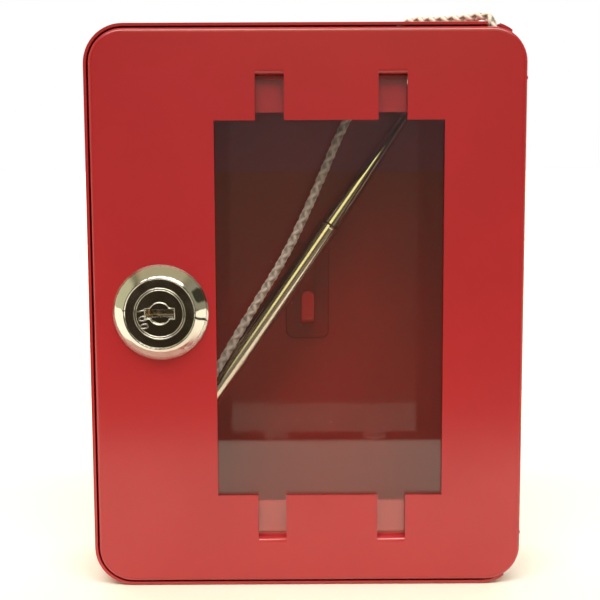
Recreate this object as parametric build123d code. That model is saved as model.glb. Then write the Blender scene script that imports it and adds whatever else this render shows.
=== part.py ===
"""Break glass key box: a shallow sheet steel wall box with a glazed, hinged, locking door.

Frame: origin at the middle of the wall face, X to the right, Y into the wall, Z up.
The door looks towards -Y. A "depth" is measured back from the door's front face, so the
wall face lies at depth DEPTH. All values are in millimetres and degrees.
"""
from build123d import *
from math import cos, pi, radians, sin, tan
import os

# ---------------------------------------------------------------- driving dimensions
WIDTH, HEIGHT, DEPTH = 115.0, 150.0, 39.0       # outside of the case, door face to wall face
CORNER_RADIUS = 10.4                            # outside corners of the case
WALL = 0.8                                      # sheet steel of case and door
DOOR_GAP = 0.45                                 # between the case's rim and the door's flange
RIM_DEPTH = 1.0                                 # the rim's edge lies this far behind the door face
BACK_FLANGE = 6.0                               # turned-in edge of the back panel

WINDOW_WIDTH, WINDOW_HEIGHT, WINDOW_X = 60.0, 100.0, 6.15
NOTCH_WIDTH, NOTCH_END = 7.5, 61.7              # the four notches run from the window to NOTCH_END
NOTCH_MIDDLES = (-9.35, 22.65)
TAB_END, TAB_BEND = 52.0, 1.3                   # tip of each glass tab, and radius of its first bend
GLASS_THICKNESS, GLASS_WIDTH, GLASS_HEIGHT = 2.0, 66.3, 121.2

FLANGE = 10.0                                   # folded edge of the door
EDGE_BEND = 1.2                                 # outside bend radius of the door's edges
HINGE_X, HINGE_DEPTH = 53.0, 4.5                # axis of the two hinge pins
EAR_LEVEL = 61.0                                # outer face of the door's hinge ears
PIN_RADIUS, PIN_CLEARANCE = 1.5, 0.05
LUG_GAP, LUG_THICKNESS = 0.6, 1.5
WALL_CUT_DEPTH, RIM_END_X = 12.0, 53.4          # the hinge side of the case starts this deep

LOCK_X, LOCK_Z = -38.4, 0.0
BEZEL_RADIUS, FACE_RADIUS, BEZEL_HEIGHT = 12.65, 9.5, 3.6
HOUSING_RADIUS, HOUSING_FLAT, HOUSING_END = 9.0, 8.0, 17.0
PLUG_HEAD_RADIUS, PLUG_RADIUS = 6.9, 6.0
PLUG_FACE, PLUG_SHOULDER = -3.3, -1.4           # depths of the plug's face and of its shoulder
BORE_CLEARANCE = 0.05
DRIVE_SIZE = 6.5                                # square end that carries the cam
WAFER_DEPTHS = (2.0, 4.4, 6.8, 9.2, 11.6)
CAM_THICKNESS, CAM_REACH, CAM_WIDTH = 2.0, 15.5, 12.0
CAM_FRONT = 17.3

HOOK_X, HOOK_WIDTH, HOOK_TOP, HOOK_FOOT, HOOK_BEND = 0.6, 3.8, 2.1, -7.2, 2.0
HOOK_REACH = 10.2                               # tongue's front face ahead of the hook plate
HOOK_PLATE_WIDTH, HOOK_PLATE_LOW, HOOK_PLATE_HIGH = 12.5, -13.0, 15.0
PLATE = 1.0

WALL_HOLE_RADIUS, WALL_HOLES_X, WALL_HOLES_Z = 2.5, 88.0, 120.0

CORD_RADIUS = 1.3
CORD_SLOT_X, CORD_SLOT_WIDTH, CORD_SLOT_DEPTH = 48.6, 3.2, 5.4
CORD_HOLE_X, CORD_HOLE_DEPTH, CORD_HOLE_RADIUS = 26.5, 23.9, 2.1

HAMMER_BUTT = (-51.95, 12.55, -62.1)            # X, depth and Z of the handle's end
HAMMER_RISE, HAMMER_LEAN = 54.7, 8.05           # slope seen from the front, and tilt to the back
GRIP_RADIUS, GRIP_START, GRIP_END = 3.0, 10.0, 101.6
BUTT_RADIUS, BUTT_LENGTH, GROOVE_RADIUS = 3.2, 3.2, 1.8
SHANK_RADIUS, NECK_RADIUS = 3.2, 1.3
HEAD_AT, HEAD_RADIUS, HEAD_LENGTH = 150.6, 4.4, 26.0

# Route of the cord: X, depth and Z of each bend, from the hitch on the hammer to the stopper knot.
CORD_ROUTE = [
    (-36.6, 12.2, -37.4), (-24.9, 15.0, -18.6), (-14.6, 16.9, -1.3), (-5.2, 17.4, 13.6),
    (3.2, 16.2, 31.8), (9.9, 13.4, 48.2), (16.4, 11.4, 59.4), (26.0, 10.6, 65.8),
    (36.0, 9.2, 67.2), (43.4, 6.3, 67.4), (48.5, 3.3, 70.2), (48.85, 3.3, 74.8),
    (47.2, 4.9, 76.9), (42.8, 9.2, 76.4), (37.6, 13.3, 76.4), (32.6, 17.4, 76.5),
    (29.3, 21.1, 76.9), (27.0, 23.4, 76.0), (26.2, 24.2, 73.0), (26.2, 24.2, 70.0),
]
STOPPER_KNOT = (26.2, 24.2, 67.4)
STOPPER_RADIUS = 2.9

# ---------------------------------------------------------------- derived dimensions
CASE_INSIDE_X, CASE_INSIDE_Z = WIDTH / 2 - WALL, HEIGHT / 2 - WALL
DOOR_LEFT, DOOR_RIGHT = -(CASE_INSIDE_X - DOOR_GAP), WIDTH / 2
DOOR_HALF_HEIGHT = CASE_INSIDE_Z - DOOR_GAP
DOOR_WIDTH, DOOR_X = DOOR_RIGHT - DOOR_LEFT, (DOOR_RIGHT + DOOR_LEFT) / 2
DOOR_CORNER = CORNER_RADIUS - WALL - DOOR_GAP
GLASS_BACK = WALL + GLASS_THICKNESS
PANEL_FRONT = DEPTH - WALL                      # depth of the back panel's front face


# ---------------------------------------------------------------- helpers
def front_plane(depth):
    """Plane parallel to the door, seen from the front, at a depth."""
    return Plane(origin=(0, depth - DEPTH, 0), x_dir=(1, 0, 0), z_dir=(0, -1, 0))


def slab(outline, near, far):
    """Solid of an outline seen from the front, between two depths."""
    return extrude(front_plane(far) * outline, amount=far - near)


def at(x, depth, z):
    """Point given by its depth behind the door face."""
    return Vector(x, depth - DEPTH, z)


def block(x_low, x_high, near, far, z_low, z_high):
    """Box between two X values, two depths and two heights."""
    size = (x_high - x_low, far - near, z_high - z_low)
    middle = at((x_low + x_high) / 2, (near + far) / 2, (z_low + z_high) / 2)
    return Pos(*middle) * Box(*size)


def turned(profile, x, z):
    """Round solid about a front-to-back axis, from a list of (radius, depth) points."""
    plane = Plane(origin=(x, -DEPTH, z), x_dir=(1, 0, 0), z_dir=(0, 0, 1))
    return revolve(plane * make_face(Polyline(*profile, close=True)), Axis((x, 0, z), (0, 1, 0)))


def upright(x, depth, low, high, radius):
    """Vertical cylinder between two heights."""
    middle = at(x, depth, (low + high) / 2)
    return Pos(*middle) * Cylinder(radius, high - low)


def save(node, shape):
    """Write one node and say what it holds."""
    os.makedirs("parts", exist_ok=True)
    export_step(shape, f"parts/{node}.step")
    print(node, len(shape.solids()), "solid(s)", round(shape.volume, 2), "mm3")


# ---------------------------------------------------------------- case
def make_case():
    """Side walls bent from one strip, cut back on the hinge side so that the door can swing.

    The top has a slot in its edge for the hammer's cord, and a hole that the cord is tied in.
    """
    outside = RectangleRounded(WIDTH, HEIGHT, CORNER_RADIUS)
    inside = RectangleRounded(2 * CASE_INSIDE_X, 2 * CASE_INSIDE_Z, CORNER_RADIUS - WALL)
    case = slab(outside, RIM_DEPTH, DEPTH) - slab(inside, 0, DEPTH + 1)
    case -= block(RIM_END_X, WIDTH, 0, WALL_CUT_DEPTH, -HEIGHT, HEIGHT)
    slot_low, slot_high = CORD_SLOT_X - CORD_SLOT_WIDTH / 2, CORD_SLOT_X + CORD_SLOT_WIDTH / 2
    case -= block(slot_low, slot_high, 0, CORD_SLOT_DEPTH, 0, HEIGHT)
    return case - upright(CORD_HOLE_X, CORD_HOLE_DEPTH, 0, HEIGHT, CORD_HOLE_RADIUS)


def make_back_panel():
    """Back pan: its edge is turned forward inside the walls and welded to them."""
    edge = RectangleRounded(2 * CASE_INSIDE_X, 2 * CASE_INSIDE_Z, CORNER_RADIUS - WALL)
    hollow = offset(edge, -WALL)
    panel = slab(edge, PANEL_FRONT - BACK_FLANGE, DEPTH) - slab(hollow, 0, PANEL_FRONT)
    for place in GridLocations(WALL_HOLES_X, WALL_HOLES_Z, 2, 2):
        panel -= slab(place * Circle(WALL_HOLE_RADIUS), 0, DEPTH + 1)
    return panel


def make_hook():
    """Plate welded to the back panel, with a tongue cut from it and bent to a key hook."""
    plate_height = HOOK_PLATE_HIGH - HOOK_PLATE_LOW
    outline = Pos(HOOK_X, HOOK_PLATE_LOW + plate_height / 2) * RectangleRounded(
        HOOK_PLATE_WIDTH, plate_height, 2.5)
    slot_height = HOOK_REACH + HOOK_TOP - HOOK_FOOT - 1.5
    slot = Pos(HOOK_X, HOOK_FOOT + slot_height / 2) * RectangleRounded(
        HOOK_WIDTH + 0.3, slot_height, 1.8)
    front, tongue_front = PANEL_FRONT - PLATE, PANEL_FRONT - PLATE - HOOK_REACH
    plate = slab(outline, front, PANEL_FRONT) - slab(slot, 0, DEPTH)
    half = HOOK_WIDTH / 2
    leg = block(HOOK_X - half, HOOK_X + half, tongue_front, PANEL_FRONT, HOOK_FOOT, HOOK_TOP)
    hollow = block(HOOK_X - WIDTH, HOOK_X + WIDTH, tongue_front + PLATE, DEPTH,
                   HOOK_FOOT + PLATE, HEIGHT)
    inner_bend = hollow.edges().filter_by(Axis.X).group_by(Axis.Z)[0].sort_by(Axis.Y)[0]
    hollow = fillet(inner_bend, HOOK_BEND - PLATE)
    bend = leg.edges().filter_by(Axis.X).group_by(Axis.Z)[0].sort_by(Axis.Y)[0]
    leg = fillet(bend, HOOK_BEND)
    leg = fillet(leg.edges().filter_by(Axis.Y).group_by(Axis.Z)[-1], 1.7)
    leg = fillet(leg.faces().sort_by(Axis.Y)[0].edges().sort_by(Axis.Z)[1:], 0.35)
    return chamfer(plate.faces().sort_by(Axis.Y)[0].outer_wire().edges(), 0.25) + (leg - hollow)


# ---------------------------------------------------------------- door
def hinge_ear(side):
    """Tongue at the end of the door's hinge-side flange that turns on a pin."""
    inner = EAR_LEVEL - WALL
    ear = block(HINGE_X - 4.0, DOOR_RIGHT, WALL / 2, HINGE_DEPTH + 4.0, inner, EAR_LEVEL)
    rear_corner = ear.edges().filter_by(Axis.Z).group_by(Axis.X)[0].sort_by(Axis.Y)[-1]
    ear = fillet(rear_corner, 3.5)
    hole = upright(HINGE_X, HINGE_DEPTH, inner - 1, EAR_LEVEL + 1, PIN_RADIUS + PIN_CLEARANCE)
    ear -= hole
    return ear if side > 0 else mirror(ear, Plane.XY)


def glass_tab(x, side):
    """Strip cut from a window notch and folded back to lie behind the glass."""
    half, back = NOTCH_WIDTH / 2, GLASS_BACK + 0.05 + WALL
    web = NOTCH_END + WALL
    tab = block(x - half, x + half, 0, back, TAB_END, web)
    corners = tab.edges().filter_by(Axis.X).group_by(Axis.Z)[-1]
    tab = fillet(corners.sort_by(Axis.Y)[-1], WALL + 0.3)
    hollow = block(x - WIDTH, x + WIDTH, -1, back - WALL, 0, NOTCH_END)
    inner_corner = hollow.edges().filter_by(Axis.X).group_by(Axis.Z)[-1].sort_by(Axis.Y)[-1]
    tab -= fillet(inner_corner, 0.3)
    root = block(x - half, x + half, 0, TAB_BEND, NOTCH_END, NOTCH_END + TAB_BEND + 0.4)
    behind = block(x - WIDTH, x + WIDTH, WALL, back, web, web + 3)
    inner_bend = behind.edges().filter_by(Axis.X).group_by(Axis.Z)[0].sort_by(Axis.Y)[0]
    tab += root - fillet(inner_bend, TAB_BEND - WALL)
    front_edge = tab.edges().filter_by(Axis.X).group_by(Axis.Y)[0].sort_by(Axis.Z)[0]
    tab = fillet(front_edge, TAB_BEND)
    return tab if side > 0 else mirror(tab, Plane.XY)


def make_door():
    """Door pan with folded flanges, window, glass tabs, lock hole and hinge ears."""
    outline = Pos(DOOR_X, 0) * RectangleRounded(DOOR_WIDTH, 2 * DOOR_HALF_HEIGHT, DOOR_CORNER)
    hollow_outline = Pos(DOOR_X, 0) * RectangleRounded(
        DOOR_WIDTH - 2 * WALL, 2 * (DOOR_HALF_HEIGHT - WALL), DOOR_CORNER - WALL)
    pan = slab(outline, 0, FLANGE)
    pan = fillet(pan.faces().sort_by(Axis.Y)[0].edges(), EDGE_BEND)
    hollow = slab(hollow_outline, WALL, FLANGE + 1)
    hollow = fillet(hollow.faces().sort_by(Axis.Y)[0].edges(), EDGE_BEND - WALL)
    door = pan - hollow
    for low, high in ((EAR_LEVEL, HEIGHT), (-HEIGHT, -EAR_LEVEL)):
        door -= block(HINGE_X - 8, WIDTH, WALL + 0.05, FLANGE + 2, low, high)

    window = Pos(WINDOW_X, 0) * Rectangle(WINDOW_WIDTH, WINDOW_HEIGHT)
    notch_height = 2 * (NOTCH_END + TAB_BEND)
    notches = [Pos(x, 0) * Rectangle(NOTCH_WIDTH, notch_height) for x in NOTCH_MIDDLES]
    door -= slab(window, -1, FLANGE)
    for notch in notches:
        door -= slab(notch, -1, FLANGE)
    lock_hole = Circle(HOUSING_RADIUS + 0.1) & Rectangle(3 * HOUSING_RADIUS, 2 * HOUSING_FLAT + 0.2)
    door -= slab(Pos(LOCK_X, LOCK_Z) * lock_hole, -1, FLANGE)
    for side in (1, -1):
        door += hinge_ear(side)
        for x in NOTCH_MIDDLES:
            door += glass_tab(x, side)
    return door


def make_glass():
    """Pane between the door sheet and the four tabs."""
    pane = slab(Pos(WINDOW_X, 0) * Rectangle(GLASS_WIDTH, GLASS_HEIGHT), WALL, GLASS_BACK)
    return chamfer(pane.edges(), 0.2)


def hinge_lug(side):
    """Angle welded to the hinge-side wall; the round end of its tongue carries a hinge pin.

    The tongue's neck is set inwards, because the edge of the wide open door turns in beside it.
    """
    low = EAR_LEVEL + LUG_GAP
    high = low + LUG_THICKNESS
    neck_left, neck_right, end_radius = HINGE_X - 3.8, HINGE_X - 0.9, 3.0
    leaf = block(CASE_INSIDE_X - 1.1, CASE_INSIDE_X, WALL_CUT_DEPTH + 0.5, 24.0, low - 10, high)
    plate = block(CASE_INSIDE_X - 9, CASE_INSIDE_X, WALL_CUT_DEPTH + 0.5, 24.0, low, high)
    neck = block(neck_left, neck_right, HINGE_DEPTH, WALL_CUT_DEPTH + 1, low, high)
    lug = leaf + plate + neck + upright(HINGE_X, HINGE_DEPTH, low, high, end_radius)
    lug -= upright(HINGE_X, HINGE_DEPTH, low - 1, high + 1, PIN_RADIUS)
    return lug if side > 0 else mirror(lug, Plane.XY)


def hinge_pin(side):
    """Rivet: the head lies under the ear and the far end is spread over the lug."""
    lug_top = EAR_LEVEL + LUG_GAP + LUG_THICKNESS
    ear_bottom = EAR_LEVEL - WALL
    pin = upright(HINGE_X, HINGE_DEPTH, ear_bottom - 1.2, ear_bottom - 0.2, 2.6)
    pin += upright(HINGE_X, HINGE_DEPTH, ear_bottom - 1, lug_top + 0.5, PIN_RADIUS)
    pin += upright(HINGE_X, HINGE_DEPTH, lug_top, lug_top + 0.8, 2.3)
    return pin if side > 0 else mirror(pin, Plane.XY)


# ---------------------------------------------------------------- lock
def make_housing():
    """Chromed lock housing: flared collar in front, flatted barrel behind the door."""
    head_bore = PLUG_HEAD_RADIUS + BORE_CLEARANCE
    barrel_bore = PLUG_RADIUS + BORE_CLEARANCE
    shoulder = PLUG_SHOULDER + BORE_CLEARANCE
    profile = [
        (head_bore, PLUG_FACE), (FACE_RADIUS - 0.45, PLUG_FACE), (FACE_RADIUS - 0.2, -BEZEL_HEIGHT),
        (FACE_RADIUS, -BEZEL_HEIGHT), (BEZEL_RADIUS, -0.5), (BEZEL_RADIUS, 0),
        (HOUSING_RADIUS, 0), (HOUSING_RADIUS, HOUSING_END), (barrel_bore, HOUSING_END),
        (barrel_bore, shoulder), (head_bore, shoulder),
    ]
    housing = turned(profile, LOCK_X, LOCK_Z)
    for side in (1, -1):
        flat = side * (HOUSING_FLAT + HOUSING_RADIUS) + LOCK_Z
        housing -= block(LOCK_X - WIDTH, LOCK_X + WIDTH, 0, HOUSING_END + 1,
                         flat - HOUSING_RADIUS, flat + HOUSING_RADIUS)
    stop = Pos(LOCK_X, LOCK_Z) * Rot(0, 0, -45) * Pos(7.5, 0) * Circle(0.9)
    return housing + slab(stop, HOUSING_END - 1, HOUSING_END + 2)


def make_plug():
    """Turning core: keyway in front, wafer slots across it, square drive and screw hole behind."""
    profile = [
        (0, PLUG_FACE), (PLUG_HEAD_RADIUS, PLUG_FACE), (PLUG_HEAD_RADIUS, PLUG_SHOULDER),
        (PLUG_RADIUS, PLUG_SHOULDER), (PLUG_RADIUS, HOUSING_END), (0, HOUSING_END),
    ]
    plug = turned(profile, LOCK_X, LOCK_Z)
    place = Pos(LOCK_X, LOCK_Z)
    drive_end = CAM_FRONT + CAM_THICKNESS - 0.2
    plug += slab(place * Rectangle(DRIVE_SIZE, DRIVE_SIZE), HOUSING_END - 1, drive_end)
    key_mouth = Circle(2.8) + Rectangle(7.6, 2.6)
    plug -= slab(place * key_mouth, -BEZEL_HEIGHT, PLUG_FACE + 0.8)
    plug -= slab(place * Rectangle(7.2, 1.9), -BEZEL_HEIGHT, 13.4)
    for depth in WAFER_DEPTHS:
        plug -= slab(place * Rectangle(3 * PLUG_RADIUS, 5.0), depth - 0.6, depth + 0.6)
    return plug - slab(place * Circle(2.0), 14.4, DEPTH)


def make_wafers():
    """Five flat tumblers with a window for the key, drawn back inside the plug."""
    wafers = []
    for number, depth in enumerate(WAFER_DEPTHS):
        shift = 0.15 * (number % 3 - 1)
        plate = Rectangle(10.2, 4.8) - Pos(shift, 0) * Rectangle(7.0 - 0.3 * (number % 2), 2.2)
        plate -= Pos(4.5, -2.1) * Rectangle(2.0, 1.6)
        wafers.append(slab(Pos(LOCK_X, LOCK_Z) * plate, depth - 0.5, depth + 0.5))
    return Compound(wafers)


def make_wafer_springs():
    """One small coil spring of square wire beside each tumbler, in the step of its edge."""
    springs = []
    for depth in WAFER_DEPTHS:
        axis = Plane(origin=at(LOCK_X + 3.6, depth, LOCK_Z - 1.9), z_dir=(1, 0, 0))
        coil = Helix(pitch=0.38, height=1.2, radius=0.33)
        wire = sweep(Plane(coil @ 0, z_dir=coil % 0) * Rectangle(0.16, 0.16), path=coil)
        springs.append(axis * wire)
    return Compound(springs)


def make_washer():
    """Plain washer between the door sheet and the lock nut."""
    ring = Circle(10.9) - Circle(HOUSING_RADIUS + 0.2)
    return slab(Pos(LOCK_X, LOCK_Z) * ring, WALL, WALL + 1.0)


def make_nut():
    """Thin hexagon nut that clamps the housing to the door."""
    nut_near = WALL + 1.0
    hexagon = Rot(0, 0, 30) * RegularPolygon(11.0, 6, major_radius=False)
    return slab(Pos(LOCK_X, LOCK_Z) * (hexagon - Circle(HOUSING_RADIUS)), nut_near, nut_near + 4.0)


def make_cam():
    """Flat cam, pointing up when the lock is open; the cut-out in its hub meets the stop."""
    hub = Circle(8.5)
    reach = CAM_REACH - CAM_WIDTH / 4
    outline = hub + Pos(0, reach / 2) * Rectangle(CAM_WIDTH, reach)
    outline += Pos(0, CAM_REACH / 2) * RectangleRounded(CAM_WIDTH, CAM_REACH, 3.0)
    sector = Polyline((0, 0), (20 * cos(radians(-34)), 20 * sin(radians(-34))), (0, -30),
                      (20 * cos(radians(-146)), 20 * sin(radians(-146))), close=True)
    outline -= make_face(sector) - Circle(6.4)
    outline -= Rectangle(DRIVE_SIZE + 0.1, DRIVE_SIZE + 0.1)
    return slab(Pos(LOCK_X, LOCK_Z) * outline, CAM_FRONT, CAM_FRONT + CAM_THICKNESS)


def make_cam_washer():
    """Spring washer under the cam screw."""
    near = CAM_FRONT + CAM_THICKNESS
    return slab(Pos(LOCK_X, LOCK_Z) * (Circle(5.4) - Circle(2.2)), near, near + 0.8)


def make_cam_screw():
    """Pan head screw that holds the cam on the plug."""
    head_near = CAM_FRONT + CAM_THICKNESS + 0.8
    place = Pos(LOCK_X, LOCK_Z)
    head = slab(place * Circle(3.8), head_near, head_near + 2.4)
    head = fillet(head.edges().filter_by(GeomType.CIRCLE).sort_by(Axis.Y)[-1], 1.1)
    for angle in (0, 90):
        cross = place * Rot(0, 0, angle) * Rectangle(4.0, 0.9)
        head -= slab(cross, head_near + 1.2, head_near + 3)
    return head + slab(place * Circle(2.0), 15.0, head_near + 0.5)


def make_strike():
    """Angle on the lock-side wall; the turned cam lies behind its lip."""
    lip_near = CAM_FRONT - 0.5 - 1.2
    half = 9.0
    lip = block(-CASE_INSIDE_X, -48.5, lip_near, lip_near + 1.2, -half, half)
    lip = fillet(lip.edges().filter_by(Axis.Y).group_by(Axis.X)[-1], 2.0)
    return lip + block(-CASE_INSIDE_X, -CASE_INSIDE_X + 1.0, lip_near, 28.0, -half, half)


# ---------------------------------------------------------------- hammer
def hammer_axis():
    """Start point and direction of the hammer's handle."""
    rise, lean = radians(HAMMER_RISE), radians(HAMMER_LEAN)
    direction = Vector(cos(rise) * cos(lean), sin(lean), sin(rise) * cos(lean))
    return at(*HAMMER_BUTT), direction


def along_hammer(profile):
    """Round solid on the hammer's axis, from a list of (radius, distance) points."""
    start, direction = hammer_axis()
    across = Vector(sin(radians(HAMMER_RISE)), 0, -cos(radians(HAMMER_RISE)))
    plane = Plane(origin=start, x_dir=across, z_dir=across.cross(direction))
    return revolve(plane * make_face(Polyline(*profile, close=True)), Axis(start, direction))


def make_handle():
    """Round grip with a groove for the cord and a rounded butt."""
    soft = 0.9
    profile = [
        (0, 0), (BUTT_RADIUS - soft, 0), (BUTT_RADIUS - 0.25, soft * 0.3), (BUTT_RADIUS, soft),
        (BUTT_RADIUS, BUTT_LENGTH - 0.4), (BUTT_RADIUS - 0.4, BUTT_LENGTH),
        (GROOVE_RADIUS, BUTT_LENGTH), (GROOVE_RADIUS, GRIP_START), (GRIP_RADIUS - 0.3, GRIP_START),
        (GRIP_RADIUS, GRIP_START + 0.5), (GRIP_RADIUS, GRIP_END), (0, GRIP_END),
    ]
    return along_hammer(profile)


def make_shank():
    """Tapering shank; its wider foot makes the ring at the end of the grip."""
    neck_at = HEAD_AT - HEAD_RADIUS
    profile = [
        (0, GRIP_END), (SHANK_RADIUS - 0.2, GRIP_END), (SHANK_RADIUS, GRIP_END + 0.3),
        (SHANK_RADIUS, GRIP_END + 0.8), (SHANK_RADIUS - 0.4, GRIP_END + 1.3),
        (2.35, GRIP_END + 16), (1.8, GRIP_END + 27), (NECK_RADIUS + 0.15, GRIP_END + 38),
        (NECK_RADIUS, neck_at), (NECK_RADIUS, HEAD_AT), (0, HEAD_AT),
    ]
    return along_hammer(profile)


def make_head():
    """Small cylindrical head across the shank: flat face at one end, blunt point at the other."""
    start, direction = hammer_axis()
    across = Vector(sin(radians(HAMMER_RISE)), 0, -cos(radians(HAMMER_RISE)))
    middle = start + direction * HEAD_AT
    half = HEAD_LENGTH / 2
    profile = [
        (0, -half), (HEAD_RADIUS - 0.6, -half), (HEAD_RADIUS, -half + 0.6), (HEAD_RADIUS, 5),
        (0.8, half - 0.5), (0, half),
    ]
    plane = Plane(origin=middle, x_dir=direction, z_dir=direction.cross(across))
    head = revolve(plane * make_face(Polyline(*profile, close=True)), Axis(middle, across))
    hole = Plane(origin=middle - direction * (HEAD_RADIUS + 2), z_dir=direction)
    return head - extrude(hole * Circle(NECK_RADIUS), amount=HEAD_RADIUS + 2)


# ---------------------------------------------------------------- cord
def knot_centre():
    """Middle of the knot, in front of the groove in the handle."""
    start, direction = hammer_axis()
    front = Vector(0, -1, 0)
    outward = (front - direction * front.dot(direction)).normalized()
    return start + direction * (BUTT_LENGTH + 4.2) + outward * 5.0


def make_hitch():
    """Two turns of cord round the groove, with the knot in front of them."""
    low, high = BUTT_LENGTH + 0.2, GRIP_START - 0.2
    outer = GROOVE_RADIUS + 2 * CORD_RADIUS
    soft = 0.8
    profile = [
        (GROOVE_RADIUS, low), (outer - soft, low), (outer, low + soft), (outer, high - soft),
        (outer - soft, high), (GROOVE_RADIUS, high),
    ]
    turns = along_hammer(profile)
    return turns + Pos(*knot_centre()) * Sphere(2.9)


def make_stopper_knot():
    """Knot under the top wall that keeps the cord's end in the case."""
    return Pos(*at(*STOPPER_KNOT)) * Sphere(STOPPER_RADIUS)


def cord_points():
    """Route of the cord's middle line, from the hitch's knot to the stopper knot."""
    route = [at(*point) for point in CORD_ROUTE]
    centre = knot_centre()
    start = centre + (route[0] - centre).normalized() * 2.6
    return [start] + route


def make_cord():
    """Cord as straight runs joined by tangent arcs, each as large as its two runs allow."""
    points = cord_points()
    corners = []
    for before, corner, after in zip(points, points[1:], points[2:]):
        arriving, leaving = corner - before, after - corner
        turn = radians(arriving.get_angle(leaving))
        corners.append(0.45 * min(arriving.length, leaving.length) / tan(turn / 2))
    path = FilletPolyline(*points, radius=corners)
    section = Plane(origin=path @ 0, z_dir=path % 0) * Circle(CORD_RADIUS)
    cord = sweep(section, path=path)
    print("cord arc radii", [round(corner, 1) for corner in corners])
    print("cord length", round(path.length, 1), "volume ratio",
          round(cord.volume / (path.length * pi * CORD_RADIUS ** 2), 4))
    return cord


# ---------------------------------------------------------------- write the nodes
save("case_walls", make_case())
save("back_panel", make_back_panel())
save("key_hook", make_hook())
save("door_panel", make_door())
save("glass_pane", make_glass())
for name, side in (("upper", 1), ("lower", -1)):
    save(f"{name}_hinge_lug", hinge_lug(side))
    save(f"{name}_hinge_pin", hinge_pin(side))
save("lock_housing", make_housing())
save("lock_plug", make_plug())
save("wafer_tumblers", make_wafers())
save("wafer_springs", make_wafer_springs())
save("lock_washer", make_washer())
save("lock_nut", make_nut())
save("lock_cam", make_cam())
save("cam_washer", make_cam_washer())
save("cam_screw", make_cam_screw())
save("cam_strike", make_strike())
save("hammer_handle", make_handle())
save("hammer_shank", make_shank())
save("hammer_head", make_head())
save("cord_hitch", make_hitch())
save("stopper_knot", make_stopper_knot())
save("hammer_cord", make_cord())
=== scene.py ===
# %% [markdown]
# # Break glass key box
#
# The box is folded sheet steel with a glazed door, a cam lock, a key hook and a small hammer on
# a cord. Its rigid parts come from the CAD model, which is loaded here as a fixed frame. Blender
# adds what CAD leaves plain: the braided cord and its knots, the lock's fine relief, every
# finish, and a small studio. All lengths are in metres, with X to the right, Y into the wall
# and Z up, and the wall is at Y = 0.

# %% Load the frame
from math import asin, cos, pi, radians, sin, tau

import bmesh
import bpy
from mathutils import Matrix, Vector
from mathutils.kdtree import KDTree


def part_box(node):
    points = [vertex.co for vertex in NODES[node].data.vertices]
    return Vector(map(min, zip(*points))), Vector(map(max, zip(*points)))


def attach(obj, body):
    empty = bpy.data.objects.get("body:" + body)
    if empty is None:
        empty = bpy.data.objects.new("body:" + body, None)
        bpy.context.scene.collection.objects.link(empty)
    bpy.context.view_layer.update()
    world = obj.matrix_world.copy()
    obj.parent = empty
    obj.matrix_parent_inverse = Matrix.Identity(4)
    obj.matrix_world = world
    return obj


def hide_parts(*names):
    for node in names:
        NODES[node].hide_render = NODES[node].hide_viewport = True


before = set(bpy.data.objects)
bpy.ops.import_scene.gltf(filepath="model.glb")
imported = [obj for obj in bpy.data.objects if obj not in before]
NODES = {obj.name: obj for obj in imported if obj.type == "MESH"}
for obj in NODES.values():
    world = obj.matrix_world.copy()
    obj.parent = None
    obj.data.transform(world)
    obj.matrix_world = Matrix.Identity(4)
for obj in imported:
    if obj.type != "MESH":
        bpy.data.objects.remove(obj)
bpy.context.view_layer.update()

MM = 0.001
BOX_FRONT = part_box("door_panel")[0].y
BOX_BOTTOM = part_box("case_walls")[0].z
print("frame:", len(NODES), "nodes, front of the door at", round(BOX_FRONT, 4))

# %% [markdown]
# ## Camera
#
# A camera is aimed with three turns. It starts looking down its own -Z axis, so a turn about X of
# 90 degrees less the tilt brings it level and then nods it down, a turn about Z pans it, and a
# last turn about its own axis rolls it. A long lens close to the box keeps the box's sides nearly
# parallel while its top edge still shows.

# %% Aim the camera
CAMERA_PLACE = Vector((-0.0023, -0.3728, 0.0462))
PAN, TILT, ROLL = radians(0.11), radians(7.37), radians(-0.26)
FOCAL_MM, SENSOR_MM, NEAREST = 76.6, 36.0, 0.01

lens = bpy.data.cameras.new("camera")
lens.lens, lens.sensor_width, lens.clip_start = FOCAL_MM, SENSOR_MM, NEAREST
camera = bpy.data.objects.new("camera", lens)
bpy.context.scene.collection.objects.link(camera)
camera.matrix_world = (
    Matrix.Translation(CAMERA_PLACE)
    @ Matrix.Rotation(-PAN, 4, "Z")
    @ Matrix.Rotation(pi / 2 - TILT, 4, "X")
    @ Matrix.Rotation(ROLL, 4, "Z")
)
bpy.context.scene.camera = camera
print("camera:", round((Vector((0, BOX_FRONT, 0)) - CAMERA_PLACE).length, 3), "m from the door")

# %% [markdown]
# ## The cord's line
#
# The real cord is one soft piece, so its middle line has to be one smooth curve. A NURBS spline
# of order 3 pulls a curve towards a few control points and never makes a corner. The control
# points run from the knot on the hammer, up behind the glass, out through the slot in the rim,
# and back down a hole in the lid. An unbevelled curve turned into a mesh gives points along it.

# %% Lay the cord's line
CORD_RADIUS = 1.3 * MM
CORD_ROUTE = [
    (-0.04601, -0.02993, -0.05334), (-0.0366, -0.0268, -0.0374), (-0.0249, -0.0240, -0.0186),
    (-0.0146, -0.0221, -0.0013), (-0.0052, -0.0216, 0.0136), (0.0032, -0.0228, 0.0318),
    (0.0099, -0.0256, 0.0482), (0.0164, -0.0276, 0.0594), (0.0260, -0.0284, 0.0658),
    (0.0360, -0.0298, 0.0672), (0.0434, -0.0327, 0.0674), (0.0485, -0.0357, 0.0702),
    (0.04885, -0.0357, 0.0748), (0.0472, -0.0341, 0.0769), (0.0428, -0.0298, 0.0764),
    (0.0376, -0.0257, 0.0764), (0.0326, -0.0216, 0.0765), (0.0293, -0.0179, 0.0769),
    (0.0270, -0.0156, 0.0760), (0.0262, -0.0148, 0.0730), (0.0262, -0.0148, 0.0700),
]


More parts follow.
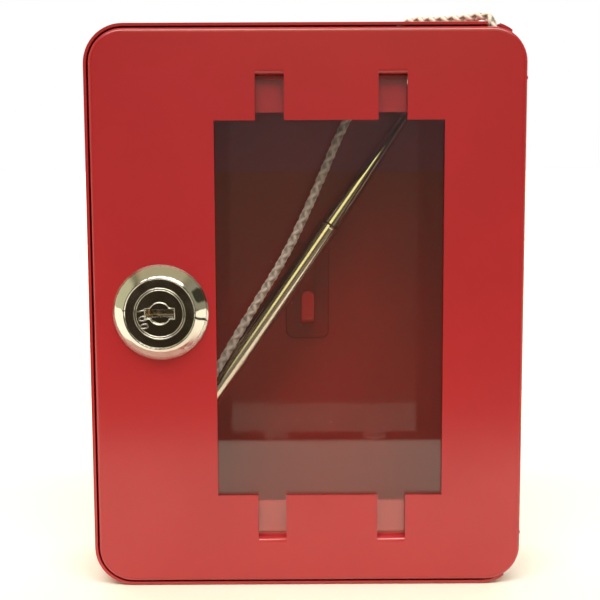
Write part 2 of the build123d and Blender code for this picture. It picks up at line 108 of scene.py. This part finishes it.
def as_mesh(curve):
    """Turn a curve or a text into a mesh, and drop the curve."""
    holder = bpy.data.objects.new("holder", curve)
    bpy.context.scene.collection.objects.link(holder)
    mesh = bpy.data.meshes.new_from_object(holder)
    bpy.data.objects.remove(holder)
    return mesh


def smooth_line(points, per_point=24):
    """Points along an order 3 NURBS spline that has these control points."""
    curve = bpy.data.curves.new("line", "CURVE")
    curve.dimensions, curve.resolution_u = "3D", per_point
    spline = curve.splines.new("NURBS")
    spline.points.add(len(points) - 1)
    for knot, place in zip(spline.points, points):
        knot.co = (*place, 1)
    spline.order_u = 3
    spline.use_endpoint_u = True
    return [vertex.co.copy() for vertex in as_mesh(curve).vertices]


def line_length(line):
    return sum((after - before).length for before, after in zip(line, line[1:]))


cord_line = smooth_line(CORD_ROUTE)
print("cord line:", len(cord_line), "points,", round(line_length(cord_line), 4), "m long")

# %% [markdown]
# ## Braiding
#
# This cord is a round plait of four strands. Two climb round it to the left and two to the
# right, and each dips under one strand and rises over the next. So every strand is a helix whose
# distance from the middle swells and shrinks like a cosine, and the two hands swell in turn. The
# helix needs a side direction at each step along the line; carrying the last side forward and
# squaring it with the new direction turns it as little as possible, so the plait doesn't twist.
# An eighth of a turn brings two rows of strands side by side to the front. Each point also keeps
# its distance from the middle as an attribute, so that the yarn can be darker in the grooves.

# %% Make a braid along a line
STEP = 0.26 * MM
STRANDS_EACH_WAY = 2
LAY = 7.4 * MM                  # length in which a strand goes once round
STRAND, MIDDLE, WEAVE, CORE = 0.47, 0.42, 0.11, 0.50     # shares of the cord's radius


def even_line(line, step):
    """The same line in even steps."""
    count = max(2, round(line_length(line) / step))
    step = line_length(line) / count
    even, travelled = [line[0].copy()], 0
    for before, after in zip(line, line[1:]):
        length = (after - before).length
        while len(even) <= count and len(even) * step <= travelled + length + 1e-9:
            share = (len(even) * step - travelled) / length
            even.append(before.lerp(after, min(share, 1)))
        travelled += length
    return even


def framed(line):
    """Each point of the line with a side and a rise, square to the line."""
    side = Vector((0.3, -1, 0.2)).cross(line[1] - line[0]).normalized()
    for i, point in enumerate(line):
        ahead = (line[min(i + 1, len(line) - 1)] - line[max(i - 1, 0)]).normalized()
        side = (side - ahead * side.dot(ahead)).normalized()
        yield point, side, ahead.cross(side)


def braid(name, line, radius=CORD_RADIUS):
    """Mesh of a round plait that follows the line, with its reach from the line."""
    places = list(framed(even_line(line, STEP)))
    curve = bpy.data.curves.new(name, "CURVE")
    curve.dimensions, curve.bevel_depth, curve.bevel_resolution = "3D", STRAND * radius, 2
    curve.use_fill_caps = True

    def strand(points, swell=1.0):
        spline = curve.splines.new("POLY")
        spline.points.add(len(points) - 1)
        for knot, place in zip(spline.points, points):
            knot.co, knot.radius = (*place, 1), swell

    strand([point for point, side, rise in places[::3]], CORE / STRAND)
    for hand in (1, -1):
        for number in range(STRANDS_EACH_WAY):
            points = []
            for i, (point, side, rise) in enumerate(places):
                turn = tau * i * STEP / LAY
                angle = hand * turn + tau * number / STRANDS_EACH_WAY + tau / 8
                reach = radius * (MIDDLE + hand * WEAVE * cos(STRANDS_EACH_WAY * turn))
                points.append(point + reach * (cos(angle) * side + sin(angle) * rise))
            strand(points)
    mesh = as_mesh(curve)
    mesh.shade_smooth()
    middle = KDTree(len(places))
    for i, (point, side, rise) in enumerate(places):
        middle.insert(point, i)
    middle.balance()
    reach = mesh.attributes.new("reach", "FLOAT", "POINT")
    for i, vertex in enumerate(mesh.vertices):
        reach.data[i].value = middle.find(vertex.co)[2] / radius
    return mesh


def add_piece(name, mesh, body, slot, *replaced):
    """Put a finished mesh in the scene on a body, in place of CAD nodes if it names any."""
    piece = bpy.data.objects.new(name, mesh)
    bpy.context.scene.collection.objects.link(piece)
    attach(piece, body)
    if replaced:
        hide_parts(*replaced)
    print(name + ":", len(mesh.polygons), "faces on", body)
    return piece


hammer_cord = add_piece("braided_cord", braid("braided_cord", cord_line), "case", "cord",
                        "hammer_cord")

# %% [markdown]
# ## Knots
#
# The cord is hitched round a groove in the hammer's butt, and tied off with a knot that can't
# slip through the hole in the lid. A tight overhand knot is a trefoil pulled up until its turns
# touch, so a small trefoil line with the same braid on it gives the lumps of the real one.

# %% Tie the hitch and the stopper knot
BUTT = Vector((-51.95, -26.45, -62.1)) * MM
RISE, LEAN = radians(54.7), radians(8.05)
HAMMER_AXIS = Vector((cos(RISE) * cos(LEAN), sin(LEAN), sin(RISE) * cos(LEAN)))
HITCH_START, HITCH_END, HITCH_TURNS = 4.8 * MM, 8.4 * MM, 2
GROOVE_RADIUS = 1.8 * MM
HITCH_RADIUS = GROOVE_RADIUS + CORD_RADIUS
KNOT_AT, KNOT_OUT = 7.4 * MM, 5.0 * MM
KNOT_SCALE = 0.56 * MM
TAIL = 4.5 * MM


def knot_line(centre, up, scale=KNOT_SCALE, points=40):
    """Line of a tight trefoil about a direction."""
    side = up.orthogonal().normalized()
    across = up.cross(side)
    line = []
    for i in range(points + 1):
        turn = tau * i / points
        reach = 2 + cos(3 * turn)
        flat = reach * cos(2 * turn) * side + reach * sin(2 * turn) * across
        line.append(centre + scale * (flat + 1.3 * sin(3 * turn) * up))
    return line


outward = Vector((0, -1, 0))
outward = (outward - HAMMER_AXIS * outward.dot(HAMMER_AXIS)).normalized()
sideways = HAMMER_AXIS.cross(outward)
knot_middle = BUTT + HAMMER_AXIS * KNOT_AT + outward * KNOT_OUT

HITCH_POINTS = 24 * HITCH_TURNS
turns = []
for i in range(HITCH_POINTS + 1):
    share = i / HITCH_POINTS
    angle = tau * HITCH_TURNS * share
    along = HITCH_START + (HITCH_END - HITCH_START) * share
    turns.append(BUTT + HAMMER_AXIS * along
                 + HITCH_RADIUS * (cos(angle) * outward + sin(angle) * sideways))


def joined(*meshes):
    """One mesh from several."""
    whole = bmesh.new()
    for mesh in meshes:
        whole.from_mesh(mesh)
    result = bpy.data.meshes.new("joined")
    whole.to_mesh(result)
    whole.free()
    return result


hitch_mesh = joined(braid("turns", smooth_line(turns, 4)),
                    braid("knot", knot_line(knot_middle, outward)))
hitch = add_piece("hammer_hitch", hitch_mesh, "case", "cord", "cord_hitch")

STOPPER_AT = Vector((26.2, -14.8, 67.4)) * MM
tail = [STOPPER_AT, STOPPER_AT - Vector((0.2 * MM, 0, TAIL / 2)),
        STOPPER_AT - Vector((-0.3 * MM, 0.4 * MM, TAIL))]
stopper_mesh = joined(braid("stopper", knot_line(STOPPER_AT, Vector((0, 0, 1)))),
                      braid("tail", smooth_line(tail)))
stopper = add_piece("end_knot", stopper_mesh, "case", "cord", "stopper_knot")

print("cord declared, hitch turns", round(line_length(turns), 4), "m")

# %% [markdown]
# ## Relief on the lock
#
# A cheap cam lock is die cast and chromed, so its core has raised lines that catch the light: a
# ridge round its edge, a rim round the keyway and a stamped number. They are only tenths of a
# millimetre high. The ridge is a small profile spun round the lock's axis. The rim is a wire bent
# along the keyway's outline, a circle crossed by a slot. The number is plain text made a mesh.

# %% Spin the ridge round the core
LOCK = Vector((-38.4 * MM, BOX_FRONT - 3.3 * MM, 0))       # middle of the core's face
RIDGE_RADII = (6.68 * MM, 6.18 * MM)
RIDGE_HALF_WIDTH, RIDGE_HEIGHT, RIDGE_ROOT = 0.12 * MM, 0.12 * MM, 0.05 * MM
ROUND_STEPS, TURN_STEPS = 8, 96


def ridge_ring(radius):
    """A ring with a rounded back, standing on the core's face."""
    shape = bmesh.new()
    for i in range(ROUND_STEPS + 1):
        angle = pi * i / ROUND_STEPS
        out = radius + RIDGE_HALF_WIDTH * cos(angle)
        depth = RIDGE_ROOT - (RIDGE_HEIGHT + RIDGE_ROOT) * sin(angle)
        shape.verts.new(LOCK + Vector((out, depth, 0)))
    shape.verts.ensure_lookup_table()
    for before, after in zip(shape.verts[:-1], shape.verts[1:]):
        shape.edges.new((before, after))
    shape.edges.new((shape.verts[-1], shape.verts[0]))
    bmesh.ops.spin(shape, geom=shape.verts[:] + shape.edges[:], cent=LOCK, axis=(0, 1, 0),
                   angle=tau, steps=TURN_STEPS, use_merge=True)
    bmesh.ops.recalc_face_normals(shape, faces=shape.faces)
    mesh = bpy.data.meshes.new("ridge")
    shape.to_mesh(mesh)
    shape.free()
    mesh.shade_smooth()
    return mesh


add_piece("core_ridge", joined(*map(ridge_ring, RIDGE_RADII)), "lock_core", "chrome")

# %% Bend the rim round the keyway
KEY_CIRCLE, SLOT_HALF_LENGTH, SLOT_HALF_WIDTH = 2.92 * MM, 3.92 * MM, 1.42 * MM
RIM_WIRE = 0.17 * MM
ARC_STEPS = 12


def keyway_outline():
    """Outline of a circle crossed by a level slot, once round."""
    meeting = asin(SLOT_HALF_WIDTH / KEY_CIRCLE)
    outline = []
    for start in (0, pi):
        mirror = 1 if start == 0 else -1
        for i in range(ARC_STEPS + 1):
            angle = start + meeting + (pi - 2 * meeting) * i / ARC_STEPS
            outline.append((KEY_CIRCLE * cos(angle), KEY_CIRCLE * sin(angle)))
        outline.append((-mirror * SLOT_HALF_LENGTH, mirror * SLOT_HALF_WIDTH))
        outline.append((-mirror * SLOT_HALF_LENGTH, -mirror * SLOT_HALF_WIDTH))
    return outline


wire = bpy.data.curves.new("rim", "CURVE")
wire.dimensions, wire.bevel_depth, wire.bevel_resolution = "3D", RIM_WIRE, 2
loop = wire.splines.new("POLY")
outline = keyway_outline()
loop.points.add(len(outline) - 1)
for knot, (x, z) in zip(loop.points, outline):
    knot.co = (LOCK.x + x, LOCK.y, LOCK.z + z, 1)
loop.use_cyclic_u = True
rim_mesh = as_mesh(wire)
rim_mesh.shade_smooth()
add_piece("keyway_rim", rim_mesh, "lock_core", "chrome")

# %% Stamp a plain number
NUMBER_HEIGHT, NUMBER_TURN = 2.3 * MM, radians(9)
DIGIT_SHARE = 0.69              # height of a digit in a text of size 1
NUMBER_AT = LOCK + Vector((-4.55, 0, -1.3)) * MM

text = bpy.data.curves.new("number", "FONT")
text.body, text.size, text.space_character = "100", NUMBER_HEIGHT / DIGIT_SHARE, 1.25
text.offset, text.extrude, text.bevel_depth = -0.07 * MM, 0.05 * MM, 0.06 * MM
text.bevel_resolution, text.align_x, text.align_y = 1, "CENTER", "CENTER"
number_mesh = as_mesh(text)
number_mesh.transform(
    Matrix.Translation(NUMBER_AT)
    @ Matrix.Rotation(radians(90) - NUMBER_TURN, 4, "Y")
    @ Matrix.Rotation(radians(90), 4, "X")
)
add_piece("core_number", number_mesh, "lock_core", "chrome")

# %% [markdown]
# ## Rounded edges
#
# Cut sheet steel comes out of the paint with its edges rounded, die castings have small radii, and
# each such edge draws a thin line of light. A small bevel gives that line. The CAD meshes are
# loose triangles, so a weld joins them first, and an angle limit keeps the bevel to the real
# corners.

# %% Round the edges of the sheets and the lock
EDGES_MM = {"door_panel": 0.16, "case_walls": 0.16, "key_hook": 0.16, "lock_housing": 0.03,
            "lock_plug": 0.08}

for name, width in EDGES_MM.items():
    node = bpy.data.objects[name]
    weld = node.modifiers.new("weld", "WELD")
    weld.merge_threshold = 0.001 * MM
    bevel = node.modifiers.new("edges", "BEVEL")
    bevel.width, bevel.segments, bevel.limit_method = width * MM, 2, "ANGLE"
    bevel.angle_limit, bevel.harden_normals = radians(40), True
    print(name, "edges rounded by", width, "mm")

# %% [markdown]
# ## Shared surface effects
#
# No real surface is even. Enamel has a faint orange peel and cloudy patches, chrome has wiping
# marks, and zinc is blotchy. Each effect is a node group with its own inputs, built once and set
# to a different size and strength in each finish. A group only gives masks and heights; the
# shader stays in the material.

# %% Build the node groups


def new_group(name, inputs, outputs):
    """An empty shader node group with number inputs and outputs."""
    group = bpy.data.node_groups.new(name, "ShaderNodeTree")
    for label, value in inputs.items():
        socket = group.interface.new_socket(label, in_out="INPUT", socket_type="NodeSocketFloat")
        socket.default_value = value
    for label in outputs:
        group.interface.new_socket(label, in_out="OUTPUT", socket_type="NodeSocketFloat")
    return group, group.nodes.new("NodeGroupInput"), group.nodes.new("NodeGroupOutput")


def add_noise(tree, scale, detail, roughness=0.5):
    """A noise on the piece's own coordinates; scale is a number or a socket."""
    place = tree.nodes.new("ShaderNodeTexCoord")
    noise = tree.nodes.new("ShaderNodeTexNoise")
    noise.inputs["Detail"].default_value = detail
    noise.inputs["Roughness"].default_value = roughness
    tree.links.new(place.outputs["Object"], noise.inputs["Vector"])
    if isinstance(scale, (int, float)):
        noise.inputs["Scale"].default_value = scale
    else:
        tree.links.new(scale, noise.inputs["Scale"])
    return noise


def spread(tree, value, low, high):
    """Stretch a value between two limits to 0 to 1, smoothly."""
    ramp = tree.nodes.new("ShaderNodeMapRange")
    ramp.interpolation_type = "SMOOTHSTEP"
    ramp.inputs["From Min"].default_value = low
    ramp.inputs["From Max"].default_value = high
    tree.links.new(value, ramp.inputs["Value"])
    return ramp.outputs["Result"]


peel, peel_in, peel_out = new_group("Orange Peel", {"Scale": 600.0}, ["Height"])
peel_noise = add_noise(peel, peel_in.outputs["Scale"], 1.5)
peel.links.new(peel_noise.outputs["Fac"], peel_out.inputs["Height"])

clouds, clouds_in, clouds_out = new_group("Cloudy Patches", {"Scale": 30.0}, ["Mask"])
clouds_noise = add_noise(clouds, clouds_in.outputs["Scale"], 4.0, 0.6)
clouds.links.new(spread(clouds, clouds_noise.outputs["Fac"], 0.35, 0.65),
                 clouds_out.inputs["Mask"])

dust, dust_in, dust_out = new_group("Dust Specks", {"Scale": 900.0}, ["Mask"])
dust_noise = add_noise(dust, dust_in.outputs["Scale"], 2.0, 0.7)
dust.links.new(spread(dust, dust_noise.outputs["Fac"], 0.70, 0.78), dust_out.inputs["Mask"])
print("groups:", [group.name for group in bpy.data.node_groups])

# %% [markdown]
# ## Finishes
#
# Every finish starts from the Principled shader. Its fixed numbers are set on its own sockets,
# and the groups above feed its colour, roughness and bump.

# %% Helpers for the finishes


def new_finish(name, metallic=0.0):
    """A material with its node tree and its Principled shader."""
    made = bpy.data.materials.new(name)
    made.use_nodes = True
    shader = made.node_tree.nodes["Principled BSDF"]
    shader.inputs["Metallic"].default_value = metallic
    return made, made.node_tree, shader


def use_group(tree, group, scale):
    """Place a node group in a material at a pattern size."""
    node = tree.nodes.new("ShaderNodeGroup")
    node.node_tree = group
    node.inputs["Scale"].default_value = scale
    return node.outputs[0]


def blend_colour(tree, mask, first, second):
    """A colour between two, by a mask."""
    mix = tree.nodes.new("ShaderNodeMix")
    mix.data_type = "RGBA"
    colours = [socket for socket in mix.inputs if socket.type == "RGBA"]
    colours[0].default_value, colours[1].default_value = (*first, 1), (*second, 1)
    tree.links.new(mask, mix.inputs["Factor"])
    return next(socket for socket in mix.outputs if socket.type == "RGBA")


def blend_number(tree, mask, low, high):
    """A number between two, by a mask."""
    ramp = tree.nodes.new("ShaderNodeMapRange")
    ramp.inputs["To Min"].default_value, ramp.inputs["To Max"].default_value = low, high
    tree.links.new(mask, ramp.inputs["Value"])
    return ramp.outputs["Result"]


def add_bump(tree, shader, height, distance):
    """Bump the shader's surface by a height map, distance deep in metres."""
    bump = tree.nodes.new("ShaderNodeBump")
    bump.inputs["Distance"].default_value = distance
    tree.links.new(height, bump.inputs["Height"])
    tree.links.new(bump.outputs["Normal"], shader.inputs["Normal"])


def mottled(name, first, second, rough, patch_scale, peel_scale, peel_depth, metallic=0.0):
    """A finish with cloudy colour and gloss, and a fine bump."""
    made, tree, shader = new_finish(name, metallic)
    mask = use_group(tree, clouds, patch_scale)
    tree.links.new(blend_colour(tree, mask, first, second), shader.inputs["Base Color"])
    tree.links.new(blend_number(tree, mask, *rough), shader.inputs["Roughness"])
    add_bump(tree, shader, use_group(tree, peel, peel_scale), peel_depth)
    return made


# %% [markdown]
# ### Red enamel
#
# The sheet steel is stove enamelled in a deep warm red. Outside, the gloss is broad, because the
# paint has a fine orange peel. Inside, the paint lies flatter, so the back panel mirrors the
# window sharply, and its colour is made darker, a painted shade for the dim light in the box. The
# hook is painted lighter on its tongue, which stands out towards the window, than on its plate,
# which is welded to the panel: painted light on the tongue and painted shade on the plate. So one
# material blends between the two, in colour and gloss, by the distance from the wall.

# %% Mix the enamel
enamel = mottled("Red Enamel", (0.422, 0.0180, 0.0240), (0.400, 0.0160, 0.0220),
                 (0.20, 0.24), 35, 900, 0.000008)
enamel.node_tree.nodes["Principled BSDF"].inputs["IOR"].default_value = 1.6
# The inside colour is darker than the outside's: painted shade for the dim light in the box.
enamel_inside_shaded = mottled("Red Enamel Inside", (0.305, 0.0137, 0.0132), (0.289, 0.0127, 0.0121),
                        (0.04, 0.07), 35, 500, 0.000001)
enamel_inside_shaded.node_tree.nodes["Principled BSDF"].inputs["IOR"].default_value = 1.38

# %% Mix the hook's enamel, with painted light on its tongue and painted shade on its plate
TONGUE_BACK, PLATE_FRONT = -0.007, -0.003       # Y between the tongue and its plate
enamel_hook, hook_tree, hook_shader = new_finish("Red Enamel Hook")
hook_place = hook_tree.nodes.new("ShaderNodeTexCoord")
hook_parts = hook_tree.nodes.new("ShaderNodeSeparateXYZ")
hook_tree.links.new(hook_place.outputs["Object"], hook_parts.inputs["Vector"])
on_plate = spread(hook_tree, hook_parts.outputs["Y"], TONGUE_BACK, PLATE_FRONT)
# The tongue's lighter red is painted light and the plate's darker red is painted shade; the gloss
# changes between them too.
hook_tree.links.new(
    blend_colour(hook_tree, on_plate, (0.345, 0.0095, 0.0100), (0.245, 0.0090, 0.0095)),
    hook_shader.inputs["Base Color"])
hook_tree.links.new(blend_number(hook_tree, on_plate, 0.16, 0.06), hook_shader.inputs["Roughness"])
hook_shader.inputs["IOR"].default_value = 1.38
add_bump(hook_tree, hook_shader, use_group(hook_tree, peel, 900), 0.000002)
print("enamel:", enamel.name, enamel_inside_shaded.name, enamel_hook.name)

# %% [markdown]
# ### Glass
#
# The pane is plain float glass, faintly green in its thickness. The Principled shader bends the
# light by its index of refraction. Light that only passes through on its way to the inside would
# be lost, because a path tracer can't aim through bent glass, so for shadow rays alone the pane
# is clear.

# %% Mix the glass
glass, glass_tree, glass_shader = new_finish("Float Glass")
glass_shader.inputs["Transmission Weight"].default_value = 1.0
glass_shader.inputs["IOR"].default_value = 1.5
glass_tree.links.new(
    blend_colour(glass_tree, use_group(glass_tree, clouds, 60), (0.975, 0.98, 0.97),
                 (0.955, 0.965, 0.955)),
    glass_shader.inputs["Base Color"])
glass_tree.links.new(
    blend_number(glass_tree, use_group(glass_tree, dust, 700), 0.0, 0.25),
    glass_shader.inputs["Roughness"])
rays = glass_tree.nodes.new("ShaderNodeLightPath")
clear = glass_tree.nodes.new("ShaderNodeBsdfTransparent")
clear.inputs["Color"].default_value = (0.78, 0.79, 0.78, 1)
either = glass_tree.nodes.new("ShaderNodeMixShader")
output = glass_tree.nodes["Material Output"]
glass_tree.links.new(rays.outputs["Is Shadow Ray"], either.inputs["Fac"])
glass_tree.links.new(glass_shader.outputs["BSDF"], either.inputs[1])
glass_tree.links.new(clear.outputs["BSDF"], either.inputs[2])
glass_tree.links.new(either.outputs["Shader"], output.inputs["Surface"])
print("glass:", glass.name)

# %% [markdown]
# ### Metals
#
# The lock and the hammer are bright chrome. The hammer is a drawn rod, so its gloss is softer and
# its tone warmer. The cam, nut, washers and pins are zinc plated, which is grey and blotchy, and
# the tumblers in the keyway are brass.

# %% Mix the metals
chrome = mottled("Bright Chrome", (0.74, 0.715, 0.665), (0.70, 0.68, 0.63), (0.04, 0.09),
                 120, 700, 0.000001, metallic=1.0)
rod_chrome = mottled("Rod Chrome", (0.78, 0.67, 0.57), (0.72, 0.61, 0.51), (0.08, 0.13),
                     160, 1200, 0.000002, metallic=1.0)
zinc = mottled("Zinc Plate", (0.62, 0.63, 0.62), (0.48, 0.50, 0.51), (0.26, 0.42),
               260, 2200, 0.000004, metallic=1.0)
brass = mottled("Tumbler Brass", (0.80, 0.46, 0.28), (0.62, 0.33, 0.20), (0.22, 0.38),
                300, 2200, 0.000003, metallic=1.0)
print("metals:", chrome.name, rod_chrome.name, zinc.name, brass.name)

# %% [markdown]
# ### Cord
#
# The cord is off-white polyester. Its colour is darker inside the box and lighter on the lid, so
# the colour follows the height: painted shade inside the box and painted light on the lid. Its
# strands are smooth enough to shine a little on their backs, and the grooves between them hold
# painted shade and dirt, so the colour follows the distance from the cord's middle too. A fine
# noise stands for the fibres, and some sheen stands for the fuzz that lights up at the edges.

# %% Mix the cord's yarn
LID_YARN_LIT, INSIDE_YARN_SHADED, GROOVE = (0.95, 0.84, 0.74), (0.56, 0.42, 0.37), (0.32, 0.235, 0.195)
LID_FROM, LID_TO = 0.062, 0.074     # heights over which the painted shade inside gives way to painted light on the lid
yarn, yarn_tree, yarn_shader = new_finish("Cord Yarn")
fluff = use_group(yarn_tree, clouds, 320)
yarn_place = yarn_tree.nodes.new("ShaderNodeTexCoord")
yarn_parts = yarn_tree.nodes.new("ShaderNodeSeparateXYZ")
yarn_tree.links.new(yarn_place.outputs["Object"], yarn_parts.inputs["Vector"])
lid_painted_light = spread(yarn_tree, yarn_parts.outputs["Z"], LID_FROM, LID_TO)
reach = yarn_tree.nodes.new("ShaderNodeAttribute")
reach.attribute_name = "reach"
# Painted shade on the cord inside the box and painted light on the lid, blended by the height.
backs = blend_colour(yarn_tree, lid_painted_light, INSIDE_YARN_SHADED, LID_YARN_LIT)
both = yarn_tree.nodes.new("ShaderNodeMix")
both.data_type = "RGBA"
groove_in, backs_in = [socket for socket in both.inputs if socket.type == "RGBA"]
groove_in.default_value = (*GROOVE, 1)
yarn_tree.links.new(backs, backs_in)
yarn_tree.links.new(spread(yarn_tree, reach.outputs["Fac"], 0.62, 0.90), both.inputs["Factor"])
yarn_tree.links.new(next(socket for socket in both.outputs if socket.type == "RGBA"),
                    yarn_shader.inputs["Base Color"])
yarn_tree.links.new(blend_number(yarn_tree, fluff, 0.42, 0.55), yarn_shader.inputs["Roughness"])
add_bump(yarn_tree, yarn_shader, use_group(yarn_tree, peel, 5200), 0.00004)
yarn_shader.inputs["Sheen Weight"].default_value = 0.35
yarn_shader.inputs["Sheen Roughness"].default_value = 0.5
print("yarn:", yarn.name)

# %% Give every node and piece its finish
FINISHES = {
    enamel: ["case_walls", "door_panel"],
    enamel_inside_shaded: ["back_panel", "upper_hinge_lug", "lower_hinge_lug", "cam_strike"],
    enamel_hook: ["key_hook"],
    glass: ["glass_pane"],
    chrome: ["lock_housing", "lock_plug", "core_ridge", "keyway_rim", "core_number"],
    rod_chrome: ["hammer_handle", "hammer_shank", "hammer_head"],
    zinc: ["upper_hinge_pin", "lower_hinge_pin", "lock_washer", "lock_nut", "lock_cam",
           "cam_washer", "cam_screw", "wafer_springs"],
    brass: ["wafer_tumblers"],
    yarn: ["braided_cord", "hammer_hitch", "end_knot"],
}
for finish, names in FINISHES.items():
    for name in names:
        mesh = bpy.data.objects[name].data
        mesh.materials.clear()
        mesh.materials.append(finish)
print("finished:", sum(len(names) for names in FINISHES.values()), "nodes and pieces")

# %% [markdown]
# ## Studio
#
# The box stands on a pale floor in front of white. A sky dome lights it softly: a broad lamp ahead
# and above, white from behind, dimmer walls to the sides, and a dim room straight ahead, because
# the polished parts mirror what stands in front of them. The glass shows where the bright table
# ends, so a dark card lies from there on. A small black card gives the lock's flat face its depth
# and a strip puts a dark line on the collar. The camera sees none of the cards, and only
# reflections see the last two, which take no light from the floor.

# %% Lay the floor and the cards
TABLE_EDGE = BOX_FRONT - 0.161
FLOOR_HALF = 4.0


def flat_sheet(name, low, high, height, slant=0.0):
    """A level rectangle between two corners, sheared sideways by slant times its depth."""
    shape = bmesh.new()
    bmesh.ops.create_grid(shape, x_segments=1, y_segments=1, size=0.5)
    bmesh.ops.scale(shape, vec=(high[0] - low[0], high[1] - low[1], 1), verts=shape.verts)
    middle = ((low[0] + high[0]) / 2, (low[1] + high[1]) / 2, height)
    bmesh.ops.translate(shape, vec=middle, verts=shape.verts)
    for vert in shape.verts:
        vert.co.x += slant * (vert.co.y - high[1])
    mesh = bpy.data.meshes.new(name)
    shape.to_mesh(mesh)
    shape.free()
    sheet = bpy.data.objects.new(name, mesh)
    bpy.context.scene.collection.objects.link(sheet)
    return sheet


def paint_matte(name, colour, roughness, specular, *sheets):
    """Give the sheets one matte paint."""
    made, _, shader = new_finish(name)
    shader.inputs["Base Color"].default_value = (*colour, 1)
    shader.inputs["Roughness"].default_value = roughness
    shader.inputs["Specular IOR Level"].default_value = specular
    for sheet in sheets:
        sheet.data.materials.append(made)


floor = flat_sheet("floor", (-FLOOR_HALF, -FLOOR_HALF), (FLOOR_HALF, FLOOR_HALF),
                   BOX_BOTTOM - 0.0002)
card = flat_sheet("dark_card", (-FLOOR_HALF, -FLOOR_HALF), (FLOOR_HALF, TABLE_EDGE),
                  BOX_BOTTOM + 0.0005)
shade = flat_sheet("black_card", (-0.125, -0.90), (-0.052, -0.39), BOX_BOTTOM + 0.001, 0.072)
strip = flat_sheet("strip_card", (0.18, -0.40), (0.24, 0.10), BOX_BOTTOM + 0.001)

paint_matte("Pale Floor", (0.93, 0.88, 0.76), 0.9, 0.5, floor)
paint_matte("Dark Card", (0.130, 0.105, 0.070), 1.0, 0.5, card)
paint_matte("Black Card", (0.020, 0.014, 0.009), 1.0, 0.0, shade, strip)
for sheet in (card, shade, strip):
    sheet.visible_camera = sheet.visible_shadow = False
for sheet in (shade, strip):
    sheet.visible_diffuse = sheet.visible_transmission = False
print("floor and cards laid, table edge", round(TABLE_EDGE, 3))

# %% Light the dome
world = bpy.data.worlds.new("studio")
bpy.context.scene.world = world
world.use_nodes = True
sky = world.node_tree
sky.nodes.clear()
direction = sky.nodes.new("ShaderNodeTexCoord")

ROOM = (0.075, 0.058, 0.034)
PATCHES = [                     # colour, then each direction with where it starts and is full
    ((0.52, 0.46, 0.28), ((0, 0, 1), 0.62, 0.85)),                  # overhead
    ((0.66, 0.64, 0.40), ((-1, 0, 0), 0.66, 0.84)),                 # left wall
    ((0.34, 0.32, 0.22), ((1, 0, 0), 0.50, 0.80)),                  # right wall
    ((1.70, 1.70, 1.65), ((0, 1, 0), 0.10, 0.50)),                  # white behind the box
    ((0.26, 0.255, 0.245), ((0, -1, 0.06), 0.968, 0.991)),          # dim room straight ahead
    ((0.05, 0.05, 0.03), ((0.90, -0.11, 0.33), 0.972, 0.988)),      # dark spot on the right
    ((1.60, 1.55, 0.72), ((0.06, -0.92, 0.38), 0.955, 0.986)),      # yellow glow over the room
    ((8.6, 8.5, 8.1), ((0, 0, 1), 0.62, 0.80), ((0, -1, 0), 0.28, 0.42)),   # lamp
]


def towards(place, start, full):
    """A mask of the dome round a direction."""
    nearness = sky.nodes.new("ShaderNodeVectorMath")
    nearness.operation = "DOT_PRODUCT"
    nearness.inputs[1].default_value = Vector(place).normalized()
    sky.links.new(direction.outputs["Generated"], nearness.inputs[0])
    return spread(sky, nearness.outputs["Value"], start, full)


light_in = None
for colour, *places in PATCHES:
    mask = towards(*places[0])
    for place in places[1:]:
        both = sky.nodes.new("ShaderNodeMath")
        both.operation = "MULTIPLY"
        sky.links.new(mask, both.inputs[0])
        sky.links.new(towards(*place), both.inputs[1])
        mask = both.outputs[0]
    mix = sky.nodes.new("ShaderNodeMix")
    mix.data_type = "RGBA"
    colours = [socket for socket in mix.inputs if socket.type == "RGBA"]
    if light_in is None:
        colours[0].default_value = (*ROOM, 1)
    else:
        sky.links.new(light_in, colours[0])
    colours[1].default_value = (*colour, 1)
    sky.links.new(mask, mix.inputs["Factor"])
    light_in = next(socket for socket in mix.outputs if socket.type == "RGBA")

dome = sky.nodes.new("ShaderNodeBackground")
sky.links.new(light_in, dome.inputs["Color"])
paper = sky.nodes.new("ShaderNodeBackground")
paper.inputs["Color"].default_value = (1, 1, 1, 1)
seen = sky.nodes.new("ShaderNodeLightPath")
choice = sky.nodes.new("ShaderNodeMixShader")
end_node = sky.nodes.new("ShaderNodeOutputWorld")
sky.links.new(seen.outputs["Is Camera Ray"], choice.inputs["Fac"])
sky.links.new(dome.outputs["Background"], choice.inputs[1])
sky.links.new(paper.outputs["Background"], choice.inputs[2])
sky.links.new(choice.outputs["Shader"], end_node.inputs["Surface"])
bpy.context.scene.view_settings.view_transform = "Standard"
print("dome lit by", len(PATCHES), "patches")
